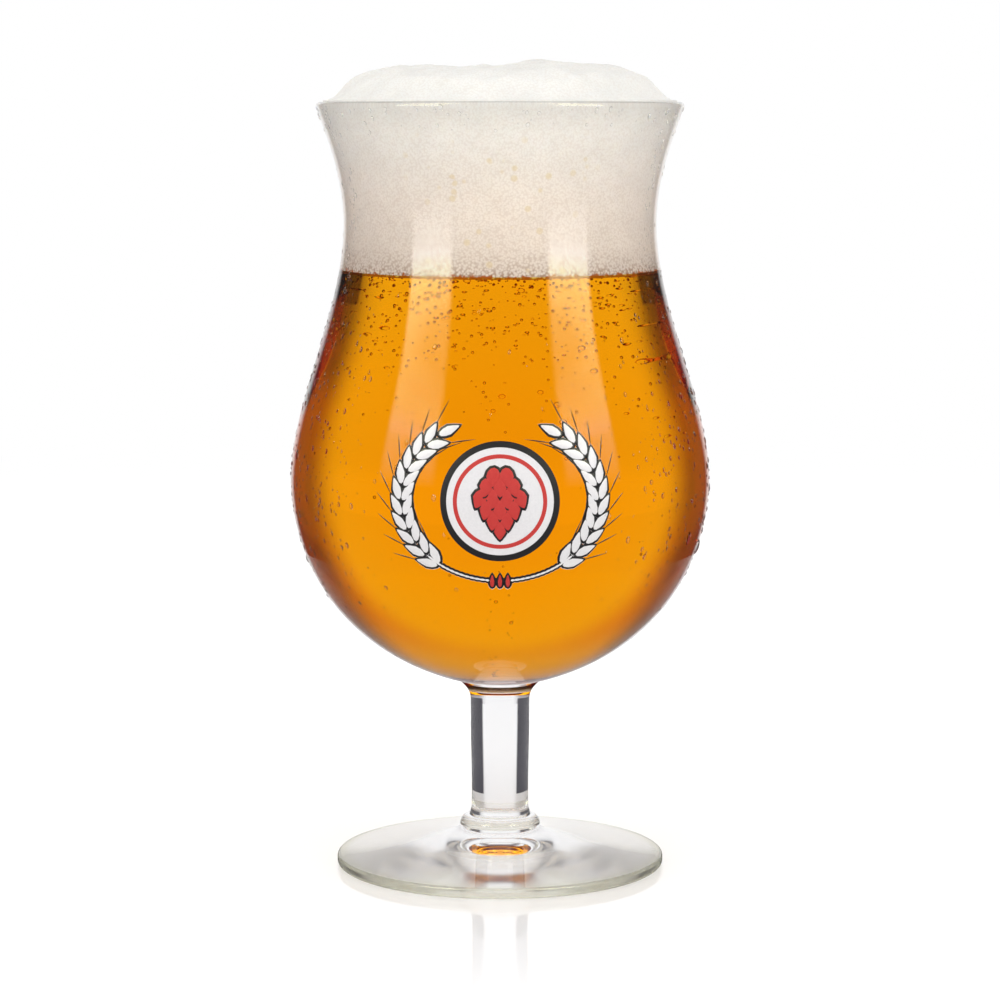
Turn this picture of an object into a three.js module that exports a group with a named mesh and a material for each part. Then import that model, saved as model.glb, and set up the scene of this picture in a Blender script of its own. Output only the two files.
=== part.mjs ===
// Stemmed beer goblet: a tulip bowl, a solid stem and a round foot, filled with beer under a head of foam.
// Millimetres, +Z up. The axis of the glass is Z and the foot stands on Z = 0.
import * as THREE from 'three';

// Foot
const footRadius = 33.6;
const footEdge = 2.2; // thickness of the edge
const footEdgeRound = 0.8; // radius of its rounded corners
const footHeight = 7.35; // from the table to the top of the boss that carries the stem
const footBossInset = 0.3; // boss drawn in under the stem's flange
const footTopDraw = 10.5; // how far the low outer part of the top runs in from the edge
const footTopRise = 1.5; // how far it has risen by then
const footFlare = 3.1; // how far out from the boss its last climb starts
const footFlareFall = 2.05; // how far below the top of the boss that is
const footRing = 5; // width of the flat ring that stands on the table
const footDish = 1.3; // depth of the hollow underneath
const footDishFlat = 17.7; // how far the roof of the hollow sweeps out level from the axis
const footDishToe = 20.3; // how far its toe sweeps in level from the ring

// Stem
const stemHeight = 30.8; // from the boss of the foot to the pad of the bowl
const stemWaist = 5.8; // radius where it is thinnest
const stemWaistHeight = 7.5; // of that place above the boss
const stemTaper = 0.3; // by how much the radius grows up to the collar
const stemDraw = 6; // how long the stem runs straight at either end of its taper
const stemHollow = 1.9; // height of the hollow curve above the upper step
const flangeStepOut = 0.5; // upper step beyond the waist
const flangeOut = 1.95; // lower, rounded step beyond the upper one
const flangeHeight = 2.65; // from the boss to the upper step
const flangeBevel = 0.7; // drawn in where it meets the boss
const collarOut = 1.9; // sharp lip under the bowl, beyond the stem
const collarLip = 0.4; // thickness of that lip
const collarFlare = 4.4; // height over which the stem opens out to it
const collarLean = 45; // degrees from level, under the lip
const collarDraw = 2; // how long the flare keeps that slope

// Bowl, outside. Heights are above the pad that sits on the stem.
const bowlHeight = 117.85; // to the top of the lip
const bowlPadMargin = 0.3; // pad beyond the collar
const bowlSpring = 33.4; // length of the wall's first, flat sweep away from the pad
const bowlSpringAngle = 14.8; // degrees that it climbs
const bellyRadius = 42.66;
const bellyHeight = 41.65;
const bellyFall = 6.4; // how long the wall runs upright below the belly
const bellyRise = 14.9; // and above it
const neckRadius = 31.63;
const neckHeight = 93.55;
const neckFall = 16.9; // how long the wall runs upright below the neck
const neckRise = 9.8; // and above it
const rimRadius = 37.05; // widest point of the lip
const rimFlare = 18.2; // degrees that the wall leans out at the lip
const rimDraw = 5.9; // how long it keeps that lean below the lip

// Bowl, inside
const wall = 1.6; // measured level, from the belly to the lip
const cupFloor = 2.4; // thickness of glass over the pad
const cupFloorDraw = 29.3; // how far the floor sweeps out level from the axis
const cupBellyFall = 16.9; // how long the inside runs upright below the belly

// Beer and foam
const fillGap = 0.3; // clearance between the drink and the glass
const foamDepth = 34.2; // from the top of the lip down to the beer
const foamRise = 7.1; // mound above the top of the lip
const foamLipRise = 0.3; // foam at the lip above the top of the lip
const foamApron = 2.2; // how far in the foam stays low beside the lip
const foamShoulderIn = 5.3; // shoulder of the mound in from the lip
const foamShoulderRise = 4.1; // its height above the top of the lip
const foamShoulderLean = 43; // degrees from level
const foamShoulderDraw = 2.6; // how long the mound keeps that slope
const foamTopDraw = 22; // how far the top runs level from the axis

// Soft lumps on the mound: direction in degrees, distance from the axis, height and spread
const foamLumps = [
  { turn: -15, out: 10, height: 1.2, spread: 7 },
  { turn: 178, out: 20, height: 0.9, spread: 7 },
  { turn: 8, out: 21, height: 1.2, spread: 6 },
  { turn: 95, out: 18, height: 0.8, spread: 8 },
  { turn: 235, out: 15, height: -0.7, spread: 8 },
  { turn: 300, out: 21, height: 0.7, spread: 7 },
];

// How finely curves are faceted
const turns = 48; // sides of a round piece
const longSteps = 9; // steps along a long curve
const shortSteps = 4; // steps along a fillet or a rounded edge

// Places that follow from the sizes above
const stemSeat = footHeight;
const bowlSeat = stemSeat + stemHeight;
const stemTop = stemWaist + stemTaper;
const collarRadius = stemTop + collarOut;
const flangeStep = stemWaist + flangeStepOut;
const flangeRadius = flangeStep + flangeOut;
const lipTop = bowlSeat + bowlHeight;
const lipRound = wall / 2;
const beerLevel = lipTop - foamDepth;

const radians = THREE.MathUtils.degToRad;

function at(radius, height) {
  return new THREE.Vector2(radius, height);
}

// One stretch of a profile: a curve and the number of steps that it is drawn with.
function line(from, to) {
  return [new THREE.LineCurve(from, to), 1];
}

function bend(from, leave, arrive, to, steps = longSteps) {
  return [new THREE.CubicBezierCurve(from, leave, arrive, to), steps];
}

function round(centre, across, up, fromDegrees, toDegrees, steps = shortSteps) {
  const from = radians(fromDegrees);
  const to = radians(toDegrees);
  return [new THREE.EllipseCurve(centre.x, centre.y, across, up, from, to), steps];
}

// Points along a run of stretches, without repeats where they meet.
function trace(...stretches) {
  const points = [];
  for (const [curve, steps] of stretches) {
    for (const point of curve.getPoints(steps)) {
      const last = points[points.length - 1];
      if (!last || last.distanceTo(point) > 1e-4) {
        points.push(point);
      }
    }
  }
  return points;
}

// A profile that leaves the axis below, runs up the outside and comes back to the axis, turned about Z.
function turned(profile) {
  return new THREE.LatheGeometry(profile, turns).rotateX(Math.PI / 2);
}

// Wall of the bowl from the belly up to the lip: the outside, or a surface that lies inset further in.
function upperWall(inset) {
  const lean = at(Math.sin(radians(rimFlare)), Math.cos(radians(rimFlare)));
  const lipCentre = at(rimRadius - lipRound, lipTop - lipRound);
  const outward = lipRound - inset;
  const lip = at(lipCentre.x + outward * lean.y, lipCentre.y - outward * lean.x);
  const belly = at(bellyRadius - inset, bowlSeat + bellyHeight);
  const neck = at(neckRadius - inset, bowlSeat + neckHeight);
  const stretches = [
    bend(belly, at(belly.x, belly.y + bellyRise), at(neck.x, neck.y - neckFall), neck),
    bend(neck, at(neck.x, neck.y + neckRise), lip.clone().addScaledVector(lean, -rimDraw), lip),
  ];
  return { belly, lipCentre, stretches };
}

// Inside of the cup, or the skin of what fills it, from the floor on the axis up to the lip.
function cupInside(gap) {
  const { belly, stretches } = upperWall(wall + gap);
  const floor = at(0, bowlSeat + cupFloor + gap);
  const climb = bend(floor, at(cupFloorDraw, floor.y), at(belly.x, belly.y - cupBellyFall), belly);
  return trace(climb, ...stretches);
}

function bowlProfile() {
  const { belly, lipCentre, stretches } = upperWall(0);
  const pad = at(collarRadius + bowlPadMargin, bowlSeat);
  const climb = at(Math.cos(radians(bowlSpringAngle)), Math.sin(radians(bowlSpringAngle)));
  const outside = trace(
    line(at(0, bowlSeat), pad),
    bend(pad, pad.clone().addScaledVector(climb, bowlSpring), at(belly.x, belly.y - bellyFall), belly),
    ...stretches,
    round(lipCentre, lipRound, lipRound, -rimFlare, 180 - rimFlare),
  );
  const inside = cupInside(0).reverse();
  return [...outside.slice(0, -1), ...inside];
}

function stemProfile() {
  const flangeFoot = at(flangeRadius - flangeBevel, stemSeat);
  const flangeSide = at(flangeRadius, stemSeat + flangeBevel);
  const step = at(flangeStep, stemSeat + flangeHeight);
  const waist = at(stemWaist, stemSeat + stemWaistHeight);
  const hollow = at(stemWaist, step.y + stemHollow);
  const flare = at(stemTop, bowlSeat - collarFlare);
  const lip = at(collarRadius, bowlSeat - collarLip);
  const lean = at(Math.cos(radians(collarLean)), Math.sin(radians(collarLean)));
  const underLip = lip.clone().addScaledVector(lean, -collarDraw);
  return trace(
    line(at(0, stemSeat), flangeFoot),
    line(flangeFoot, flangeSide),
    round(at(flangeStep, flangeSide.y), flangeOut, flangeHeight - flangeBevel, 0, 90),
    bend(step, hollow, hollow, waist, shortSteps),
    bend(waist, at(waist.x, waist.y + stemDraw), at(flare.x, flare.y - stemDraw), flare, shortSteps),
    bend(flare, at(flare.x, flare.y + collarDraw), underLip, lip, shortSteps),
    line(lip, at(collarRadius, bowlSeat)),
    line(at(collarRadius, bowlSeat), at(0, bowlSeat)),
  );
}

function footProfile() {
  const edgeIn = footRadius - footEdgeRound;
  const ringIn = edgeIn - footRing;
  const boss = at(flangeRadius - footBossInset, footHeight);
  const lowTop = at(edgeIn - footTopDraw, footEdge + footTopRise);
  const lastClimb = at(boss.x + footFlare, footHeight - footFlareFall);
  return trace(
    bend(at(0, footDish), at(footDishFlat, footDish), at(ringIn - footDishToe, 0), at(ringIn, 0)),
    line(at(ringIn, 0), at(edgeIn, 0)),
    round(at(edgeIn, footEdgeRound), footEdgeRound, footEdgeRound, -90, 0),
    round(at(edgeIn, footEdge - footEdgeRound), footEdgeRound, footEdgeRound, 0, 90),
    bend(at(edgeIn, footEdge), lowTop, lastClimb, boss),
    line(boss, at(0, footHeight)),
  );
}

// Points of a rising curve up to a height, and from that height on, with a point exactly there in both.
function splitAt(points, height) {
  const next = points.findIndex((point) => point.y > height);
  const below = points[next - 1];
  const above = points[next];
  const cut = below.clone().lerp(above, (height - below.y) / (above.y - below.y));
  return { under: [...points.slice(0, next), cut], over: [cut, ...points.slice(next)] };
}

function beerProfile() {
  const { under } = splitAt(cupInside(fillGap), beerLevel);
  return [...under, at(0, beerLevel)];
}

function foamProfile() {
  const { over } = splitAt(cupInside(fillGap), beerLevel);
  const edge = over[over.length - 1];
  const atLip = at(edge.x, lipTop + foamLipRise);
  const shoulder = at(edge.x - foamShoulderIn, lipTop + foamShoulderRise);
  const slope = at(-Math.cos(radians(foamShoulderLean)), Math.sin(radians(foamShoulderLean)));
  const reach = slope.multiplyScalar(foamShoulderDraw);
  const top = at(0, lipTop + foamRise);
  const mound = trace(
    line(edge, atLip),
    bend(atLip, at(atLip.x - foamApron, atLip.y), shoulder.clone().sub(reach), shoulder, shortSteps),
    bend(shoulder, shoulder.clone().add(reach), at(foamTopDraw, top.y), top),
  );
  return [at(0, beerLevel), ...over, ...mound.slice(1)];
}

// Raises the mound into soft lumps, which fade out towards the lip.
function lumpy(geometry) {
  const place = geometry.attributes.position;
  for (let i = 0; i < place.count; i += 1) {
    const x = place.getX(i);
    const y = place.getY(i);
    const z = place.getZ(i);
    const fade = THREE.MathUtils.smoothstep(z, lipTop + foamLipRise, lipTop + foamShoulderRise);
    let lift = 0;
    for (const { turn, out, height, spread } of foamLumps) {
      const away = Math.hypot(x - out * Math.cos(radians(turn)), y - out * Math.sin(radians(turn)));
      lift += height * Math.exp(-((away / spread) ** 2));
    }
    place.setZ(i, z + lift * fade);
  }
  geometry.computeVertexNormals();
  return geometry;
}

function part(name, geometry, finish) {
  const mesh = new THREE.Mesh(geometry, new THREE.MeshStandardMaterial(finish));
  mesh.name = name;
  return mesh;
}

const clearGlass = { color: 0xeef0f4, roughness: 0.03, metalness: 0, transparent: true, opacity: 0.35 };
const amberBeer = { color: 0xf09a08, roughness: 0.05, metalness: 0 };
const paleFoam = { color: 0xf1eadc, roughness: 0.8, metalness: 0 };

const goblet = new THREE.Group();
goblet.name = 'beer_goblet';
goblet.add(part('foot', turned(footProfile()), clearGlass));
goblet.add(part('stem', turned(stemProfile()), clearGlass));
goblet.add(part('bowl', turned(bowlProfile()), clearGlass));
goblet.add(part('beer', turned(beerProfile()), amberBeer));
goblet.add(part('foam_head', lumpy(turned(foamProfile())), paleFoam));

export default goblet;
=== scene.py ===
import math
import bpy
import bmesh
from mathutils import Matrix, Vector, noise


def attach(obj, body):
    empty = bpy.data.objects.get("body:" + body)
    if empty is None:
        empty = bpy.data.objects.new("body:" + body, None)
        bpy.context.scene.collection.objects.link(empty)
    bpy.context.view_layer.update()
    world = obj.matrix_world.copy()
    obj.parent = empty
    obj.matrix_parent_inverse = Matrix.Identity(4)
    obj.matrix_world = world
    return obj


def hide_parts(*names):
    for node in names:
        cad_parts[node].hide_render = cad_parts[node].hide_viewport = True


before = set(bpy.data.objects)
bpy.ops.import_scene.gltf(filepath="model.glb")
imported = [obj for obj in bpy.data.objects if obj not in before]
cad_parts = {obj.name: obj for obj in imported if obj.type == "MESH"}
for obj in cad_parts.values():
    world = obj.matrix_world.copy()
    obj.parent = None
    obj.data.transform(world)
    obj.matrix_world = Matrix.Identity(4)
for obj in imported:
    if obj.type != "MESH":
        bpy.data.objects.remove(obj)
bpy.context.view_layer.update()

mm = 0.001
scene = bpy.context.scene
scene.view_settings.view_transform = "Standard"
scene.cycles.max_bounces = 32  # light runs to and fro inside the glass
scene.cycles.glossy_bounces = 32
scene.cycles.transmission_bounces = 32
scene.cycles.transparent_max_bounces = 32
print("stage: frame loaded,", len(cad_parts), "solids")


# camera, at the photograph's height and tilt
cameraSet = {"place": (0.0, -0.6465, 0.1541), "tiltDown": 6.955, "lens": 114.68, "sensor": 36.0}

cameraData = bpy.data.cameras.new("camera")
cameraData.lens = cameraSet["lens"]
cameraData.sensor_width = cameraSet["sensor"]
cameraData.clip_start = 0.01
camera = bpy.data.objects.new("camera", cameraData)
camera.location = cameraSet["place"]
camera.rotation_euler = (math.radians(90 - cameraSet["tiltDown"]), 0, 0)
scene.collection.objects.link(camera)
scene.camera = camera
print("stage: camera")


# small helpers

def at(radius, height):
    return Vector((radius * mm, height * mm))


def bend(start, leave, arrive, end, steps):
    points = []
    for i in range(steps + 1):
        t = i / steps
        s = 1 - t
        points.append(start * s ** 3 + leave * (3 * s * s * t) + arrive * (3 * s * t * t) + end * t ** 3)
    return points


def arc(centre, across, up, fromDegrees, toDegrees, steps):
    points = []
    for i in range(steps + 1):
        angle = math.radians(fromDegrees + (toDegrees - fromDegrees) * i / steps)
        points.append(centre + Vector((across * mm * math.cos(angle), up * mm * math.sin(angle))))
    return points


def joined(*runs):
    points = []
    for run in runs:
        for point in run:
            if not points or (points[-1] - point).length > 1e-7:
                points.append(point)
    return points


def meshOf(bm, name):
    mesh = bpy.data.meshes.new(name)
    bm.to_mesh(mesh)
    bm.free()
    return mesh


def turnedMesh(name, profile, sides, sharpDegrees=40.0):
    bm = bmesh.new()
    rings = []
    for point in profile:
        if point.x < 1e-7:
            rings.append([bm.verts.new((0, 0, point.y))])
            continue
        ring = []
        for i in range(sides):
            angle = 2 * math.pi * i / sides
            ring.append(bm.verts.new((point.x * math.cos(angle), point.x * math.sin(angle), point.y)))
        rings.append(ring)
    for low, high in zip(rings, rings[1:]):
        for i in range(sides):
            k = (i + 1) % sides
            if len(low) == 1:
                bm.faces.new((low[0], high[k], high[i]))
            elif len(high) == 1:
                bm.faces.new((low[i], low[k], high[0]))
            else:
                bm.faces.new((low[i], low[k], high[k], high[i]))
    bmesh.ops.recalc_face_normals(bm, faces=bm.faces)
    for face in bm.faces:
        face.smooth = True
    for edge in bm.edges:
        if len(edge.link_faces) == 2 and edge.calc_face_angle() > math.radians(sharpDegrees):
            edge.smooth = False
    return meshOf(bm, name)


def newPiece(name, mesh, *materials):
    piece = bpy.data.objects.new(name, mesh)
    for material in materials:
        mesh.materials.append(material)
    scene.collection.objects.link(piece)
    return piece


def newMaterial(name):
    material = bpy.data.materials.new(name)
    material.use_nodes = True
    tree = material.node_tree
    tree.nodes.clear()
    output = tree.nodes.new("ShaderNodeOutputMaterial")
    return material, tree, output


def surface(tree, output, shader):
    tree.links.new(shader.outputs[0], output.inputs["Surface"])


def addNode(tree, kind, inputs, **settings):
    # inputs are nodes (by their first output), sockets or plain values; colours come without alpha
    node = tree.nodes.new(kind)
    for name, value in settings.items():
        setattr(node, name, value)
    for name, value in inputs.items():
        socket = node.inputs[name]
        if isinstance(value, bpy.types.Node):
            tree.links.new(value.outputs[0], socket)
        elif isinstance(value, bpy.types.NodeSocket):
            tree.links.new(value, socket)
        else:
            socket.default_value = (*value, 1) if socket.type == "RGBA" else value
    return node


def mathNode(tree, operation, first, second=0.0):
    return addNode(tree, "ShaderNodeMath", {0: first, 1: second}, operation=operation).outputs[0]


def times(tree, first, second):
    return mathNode(tree, "MULTIPLY", first, second)


def vectorNode(tree, operation, first, second=(0, 0, 0), result="Vector"):
    return addNode(tree, "ShaderNodeVectorMath", {0: first, 1: second}, operation=operation).outputs[result]


def ramp(tree, value, fromMin, fromMax, toMin=0, toMax=1):
    limits = {"Value": value, "From Min": fromMin, "From Max": fromMax, "To Min": toMin, "To Max": toMax}
    return addNode(tree, "ShaderNodeMapRange", limits, interpolation_type="SMOOTHSTEP").outputs[0]


def rampMm(tree, value, fromMin, fromMax, toMin=0, toMax=1):
    return ramp(tree, value, fromMin * mm, fromMax * mm, toMin, toMax)


def mixValue(tree, share, first, second):
    return addNode(tree, "ShaderNodeMix", {"Factor": share, "A": first, "B": second}).outputs["Result"]


def mixColour(tree, share, first, second, blend="MIX"):
    inputs = {"Factor": share, "A": first, "B": second}
    return addNode(tree, "ShaderNodeMix", inputs, data_type="RGBA", blend_type=blend).outputs["Result"]


def byHeight(tree, z, stops):
    # colours that change with height; each stop is a height in mm and a colour, from the lowest up
    low, high = stops[0][0], stops[-1][0]
    share = addNode(tree, "ShaderNodeMapRange", {"Value": z, "From Min": low * mm, "From Max": high * mm})
    node = addNode(tree, "ShaderNodeValToRGB", {"Fac": share})
    marks = node.color_ramp.elements
    for height, colour in stops:
        if height == low:
            mark = marks[0]
        elif height == high:
            mark = marks[-1]
        else:
            mark = marks.new((height - low) / (high - low))
        mark.color = (*colour, 1)
    return node.outputs["Color"]


def ownPlace(tree):
    return addNode(tree, "ShaderNodeTexCoord", {}).outputs["Object"]


def ownParts(tree):
    place = ownPlace(tree)
    parts = addNode(tree, "ShaderNodeSeparateXYZ", {0: place}).outputs
    return place, parts["X"], parts["Y"], parts["Z"]


def noiseGroup(name, sizeWord, resultWord, detail, roughness):
    # unevenness that several materials share, each with its own size
    group = bpy.data.node_groups.new(name, "ShaderNodeTree")
    group.interface.new_socket(sizeWord, in_out="INPUT", socket_type="NodeSocketFloat")
    group.interface.new_socket(resultWord, in_out="OUTPUT", socket_type="NodeSocketFloat")
    entry = group.nodes.new("NodeGroupInput")
    leave = group.nodes.new("NodeGroupOutput")
    cloud = addNode(group, "ShaderNodeTexNoise", {
        "Vector": ownPlace(group), "Scale": entry.outputs[sizeWord],
        "Detail": detail, "Roughness": roughness,
    })
    group.links.new(cloud.outputs[0], leave.inputs[resultWord])
    return group


def lampsThrough(tree, output, shader, colour):
    # lamps light what is inside, so a shadow ray passes straight on
    path = addNode(tree, "ShaderNodeLightPath", {})
    clear = addNode(tree, "ShaderNodeBsdfTransparent", {"Color": colour})
    shadow = path.outputs["Is Shadow Ray"]
    mix = addNode(tree, "ShaderNodeMixShader", {0: shadow, 1: shader, 2: clear})
    surface(tree, output, mix)


def newTree(name, sizes):
    tree = bpy.data.node_groups.new(name, "GeometryNodeTree")
    tree.interface.new_socket("Geometry", in_out="INPUT", socket_type="NodeSocketGeometry")
    tree.interface.new_socket("Geometry", in_out="OUTPUT", socket_type="NodeSocketGeometry")
    for word, kind in sizes.items():
        tree.interface.new_socket(word, in_out="INPUT", socket_type="NodeSocket" + kind)
    return tree, tree.nodes.new("NodeGroupInput").outputs, tree.nodes.new("NodeGroupOutput").inputs


def grown(name, source, tree, sizes):
    # runs a tree on a source mesh and keeps the result as a plain mesh
    piece = newPiece(name, source)
    modifier = piece.modifiers.new(name, "NODES")
    modifier.node_group = tree
    for socket in tree.interface.items_tree:
        if socket.in_out == "INPUT" and socket.name in sizes:
            modifier[socket.identifier] = sizes[socket.name]
    bpy.context.view_layer.update()
    mesh = bpy.data.meshes.new_from_object(piece.evaluated_get(bpy.context.evaluated_depsgraph_get()))
    piece.modifiers.remove(modifier)
    piece.data = mesh
    mesh.name = name
    mesh.materials.clear()
    mesh.materials.append(sizes["Material"])
    mesh.polygons.foreach_set("material_index", [0] * len(mesh.polygons))
    return piece


def skinMesh(name, profile, sides):
    # an open surface that faces outward, for what sits on it
    mesh = turnedMesh(name, profile, sides)
    middle = mesh.polygons[len(mesh.polygons) // 2]
    if middle.normal.dot(Vector((middle.center.x, middle.center.y, 0))) < 0:
        mesh.flip_normals()
    return mesh


def plainMesh(name, corners, faces):
    mesh = bpy.data.meshes.new(name)
    mesh.from_pydata(corners, [], faces)
    return mesh


def shareOut(mesh, rule):
    # how thickly a surface is covered, by direction from the front in degrees and height in mm
    share = mesh.attributes.new("share", "FLOAT", "POINT")
    for vertex, item in zip(mesh.vertices, share.data):
        x, y, z = vertex.co / mm
        item.value = rule(abs(math.degrees(math.atan2(x, -y))), z)
    return mesh


def smooth(value, low, high):
    share = min(max((value - low) / (high - low), 0), 1)
    return share * share * (3 - 2 * share)


def unitBall(tree, entry):
    # a ball of radius 1, with the X, Y and Z of its points
    ball = addNode(tree, "GeometryNodeMeshUVSphere", {
        "Segments": entry["Segments"], "Rings": entry["Rings"], "Radius": 1.0})
    place = addNode(tree, "GeometryNodeInputPosition", {})
    return ball, addNode(tree, "ShaderNodeSeparateXYZ", {0: place}).outputs


def combine(tree, x, y, z):
    return addNode(tree, "ShaderNodeCombineXYZ", {"X": x, "Y": y, "Z": z})


def endTree(tree, leave, instances, material):
    real = addNode(tree, "GeometryNodeRealizeInstances", {"Geometry": instances})
    even = addNode(tree, "GeometryNodeSetShadeSmooth", {"Geometry": real})
    done = addNode(tree, "GeometryNodeSetMaterial", {"Geometry": even, "Material": material})
    tree.links.new(done.outputs["Geometry"], leave["Geometry"])


def sprinkleTree():
    # beads on a surface: whole balls, or drops with a flat underside
    tree, entry, leave = newTree("sprinkle", {
        "Density": "Float", "Small": "Float", "Large": "Float", "Rarity": "Float", "Stretch": "Float",
        "Lowest": "Float", "Flat": "Float", "Sink": "Float", "Sink share": "Float",
        "Segments": "Int", "Rings": "Int", "Seed": "Int", "Material": "Material",
    })
    share = addNode(tree, "GeometryNodeInputNamedAttribute", {"Name": "share"}, data_type="FLOAT")
    spread = addNode(tree, "GeometryNodeDistributePointsOnFaces", {
        "Mesh": entry["Geometry"], "Seed": entry["Seed"],
        "Density": times(tree, share, entry["Density"]),
    })
    pick = addNode(tree, "FunctionNodeRandomValue", {"Seed": entry["Seed"]})
    size = addNode(tree, "ShaderNodeMapRange", {
        "Value": mathNode(tree, "POWER", pick.outputs[1], entry["Rarity"]),
        "To Min": entry["Small"], "To Max": entry["Large"],
    })
    depth = mathNode(tree, "ADD", times(tree, size, entry["Sink share"]), entry["Sink"])
    inward = addNode(tree, "ShaderNodeVectorMath", {
        0: spread.outputs["Normal"], "Scale": times(tree, depth, -1.0)}, operation="SCALE")
    points = addNode(tree, "GeometryNodeSetPosition", {"Geometry": spread, "Offset": inward})
    ball, place = unitBall(tree, entry)
    cutOff = mathNode(tree, "MAXIMUM", place["Z"], entry["Lowest"])
    height = times(tree, cutOff, entry["Flat"])
    bead = addNode(tree, "GeometryNodeSetPosition", {
        "Geometry": ball, "Position": combine(tree, place["X"], place["Y"], height)})
    upright = addNode(tree, "FunctionNodeAlignRotationToVector", {
        "Rotation": spread.outputs["Rotation"], "Vector": (0, 0, 1)}, axis="Y", pivot_axis="Z")
    longer = addNode(tree, "FunctionNodeRandomValue", {2: 1.0, 3: entry["Stretch"], "Seed": 7})
    tall = times(tree, size, longer.outputs[1])
    beads = addNode(tree, "GeometryNodeInstanceOnPoints", {
        "Points": points, "Instance": bead, "Rotation": upright, "Scale": combine(tree, size, tall, size)})
    endTree(tree, leave, beads, entry["Material"])
    return tree


def beadMaterial(name, grain, dark, light, ior, shadowed):
    # clear beads of air or water, tinted by a noise between two colours; on the air bubbles the tint is
    # painted shade
    material, tree, output = newMaterial(name)
    cloud = addNode(tree, "ShaderNodeTexNoise", {"Vector": ownPlace(tree), "Scale": grain})
    bead = addNode(tree, "ShaderNodeBsdfPrincipled", {
        "Base Color": mixColour(tree, cloud, dark, light),
        "Roughness": 0.0, "IOR": ior, "Transmission Weight": 1.0,
    })
    lampsThrough(tree, output, bead, shadowed)
    return material


sprinkle = sprinkleTree()


# glass: bowl, stem and foot are one body of glass

foot = {
    "radius": 33.6, "edge": 2.2, "edgeRound": 0.8, "height": 7.35, "bossInset": 0.3,
    "topDraw": 10.5, "topRise": 1.5, "flare": 3.1, "flareFall": 2.05,
    "ring": 5.0, "dish": 1.3, "dishFlat": 17.7, "dishToe": 20.3,
}
stem = {
    "height": 30.8, "waist": 5.8, "waistHeight": 7.5, "taper": 0.3, "draw": 6.0, "hollow": 1.9,
    "stepOut": 0.5, "flangeOut": 1.95, "flangeHeight": 2.65, "bevel": 0.7,
    "collarOut": 1.9, "collarLip": 0.4, "collarFlare": 4.4, "collarLean": 45.0, "collarDraw": 2.0,
}
bowl = {
    "height": 117.85, "padMargin": 0.3, "spring": 33.4, "springAngle": 14.8,
    "bellyRadius": 42.66, "bellyHeight": 41.65, "bellyFall": 6.4, "bellyRise": 14.9,
    "neckRadius": 31.63, "neckHeight": 93.55, "neckFall": 16.9, "neckRise": 9.8,
    "rimRadius": 37.05, "rimFlare": 18.2, "rimDraw": 5.9,
    "wall": 1.6, "floor": 2.4, "floorDraw": 29.3, "insideFall": 16.9,
}
drink = {"foamDepth": 34.2, "beerIntoGlass": 0.2, "foamIntoGlass": 0.15}
fineness = {"sides": 192, "long": 36, "short": 10}

bowlSeat = foot["height"] + stem["height"]
lipTop = bowlSeat + bowl["height"]
beerLevel = lipTop - drink["foamDepth"]
lipRound = bowl["wall"] / 2
stemTop = stem["waist"] + stem["taper"]
collarRadius = stemTop + stem["collarOut"]
flangeStep = stem["waist"] + stem["stepOut"]
flangeRadius = flangeStep + stem["flangeOut"]
long = fineness["long"]
short = fineness["short"]


def upperWall(inset):
    flare = math.radians(bowl["rimFlare"])
    lean = Vector((math.sin(flare), math.cos(flare)))
    lipCentre = at(bowl["rimRadius"] - lipRound, lipTop - lipRound)
    lip = lipCentre + (lipRound - inset) * mm * Vector((lean.y, -lean.x))
    belly = at(bowl["bellyRadius"] - inset, bowlSeat + bowl["bellyHeight"])
    neck = at(bowl["neckRadius"] - inset, bowlSeat + bowl["neckHeight"])
    lower = bend(belly, belly + at(0, bowl["bellyRise"]), neck - at(0, bowl["neckFall"]), neck, long)
    upper = bend(neck, neck + at(0, bowl["neckRise"]), lip - lean * bowl["rimDraw"] * mm, lip, long)
    return belly, lipCentre, joined(lower, upper)


def cupInside(gap):
    belly, lipCentre, upper = upperWall(bowl["wall"] + gap)
    floor = at(0, bowlSeat + bowl["floor"] + gap)
    climb = bend(floor, floor + at(bowl["floorDraw"], 0), belly - at(0, bowl["insideFall"]), belly, long)
    return joined(climb, upper)


def bowlOutside():
    belly, lipCentre, upper = upperWall(0)
    pad = at(collarRadius + bowl["padMargin"], bowlSeat)
    angle = math.radians(bowl["springAngle"])
    leave = pad + Vector((math.cos(angle), math.sin(angle))) * bowl["spring"] * mm
    lower = bend(pad, leave, belly - at(0, bowl["bellyFall"]), belly, long)
    return joined(lower, upper)


def stemOutside():
    seat = foot["height"]
    flangeFoot = at(flangeRadius - stem["bevel"], seat)
    flangeSide = at(flangeRadius, seat + stem["bevel"])
    step = at(flangeStep, seat + stem["flangeHeight"])
    waist = at(stem["waist"], seat + stem["waistHeight"])
    hollow = at(stem["waist"], seat + stem["flangeHeight"] + stem["hollow"])
    flare = at(stemTop, bowlSeat - stem["collarFlare"])
    lip = at(collarRadius, bowlSeat - stem["collarLip"])
    lean = math.radians(stem["collarLean"])
    underLip = lip - Vector((math.cos(lean), math.sin(lean))) * stem["collarDraw"] * mm
    roundHigh = stem["flangeHeight"] - stem["bevel"]
    rounded = arc(at(flangeStep, seat + stem["bevel"]), stem["flangeOut"], roundHigh, 0, 90, short)
    return joined(
        [flangeFoot, flangeSide],
        rounded,
        bend(step, hollow, hollow, waist, short),
        bend(waist, waist + at(0, stem["draw"]), flare - at(0, stem["draw"]), flare, short),
        bend(flare, flare + at(0, stem["collarDraw"]), underLip, lip, short),
        [lip, at(collarRadius, bowlSeat)],
    )


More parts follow.
